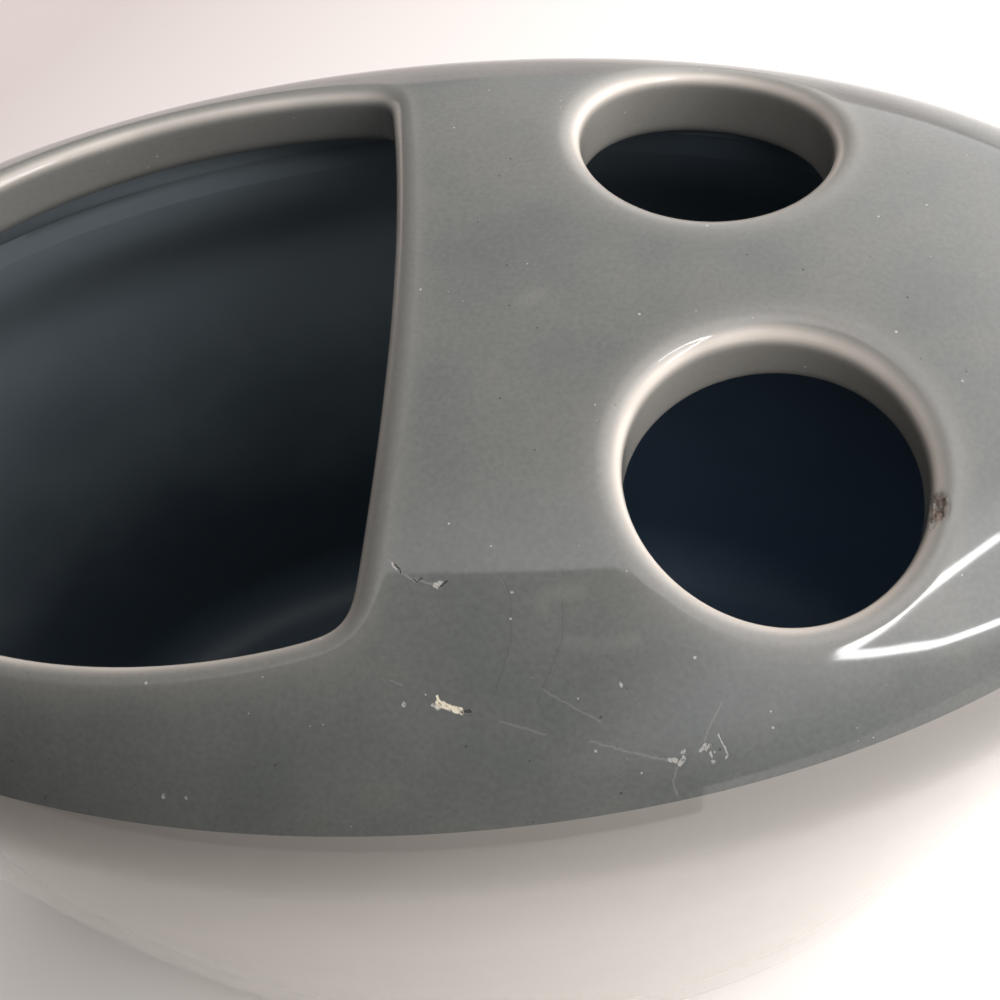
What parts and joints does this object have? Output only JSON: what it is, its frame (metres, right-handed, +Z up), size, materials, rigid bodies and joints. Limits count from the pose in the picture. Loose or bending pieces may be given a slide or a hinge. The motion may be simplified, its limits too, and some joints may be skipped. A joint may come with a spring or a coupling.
{
  "type": "toothbrush holder",
  "caption": "Oval ceramic toothbrush holder: grey crown with a D-shaped tube pocket and round brush holes, seated on a white pot with non-slip pads.",
  "frame": {"origin": "on the table, under the middle of the oval", "axes": "+Z up; +X along the oval's long axis, from the tube pocket to the brush holes; +Y towards the back, away from the user"},
  "size_m": [0.128, 0.076, 0.0981],
  "materials": {
    "grey_glaze": "glossy slate-grey glaze, paler where it thins over the lips",
    "white_glaze": "glossy warm white glaze",
    "pad_rubber": "matte grey non-slip rubber"
  },
  "bodies": {
    "root": {"grey_crown": "grey_glaze", "white_pot": "white_glaze", "foot_pad_left_front": "pad_rubber", "foot_pad_right_front": "pad_rubber", "foot_pad_left_back": "pad_rubber", "foot_pad_right_back": "pad_rubber"}
  },
  "joints": []
}
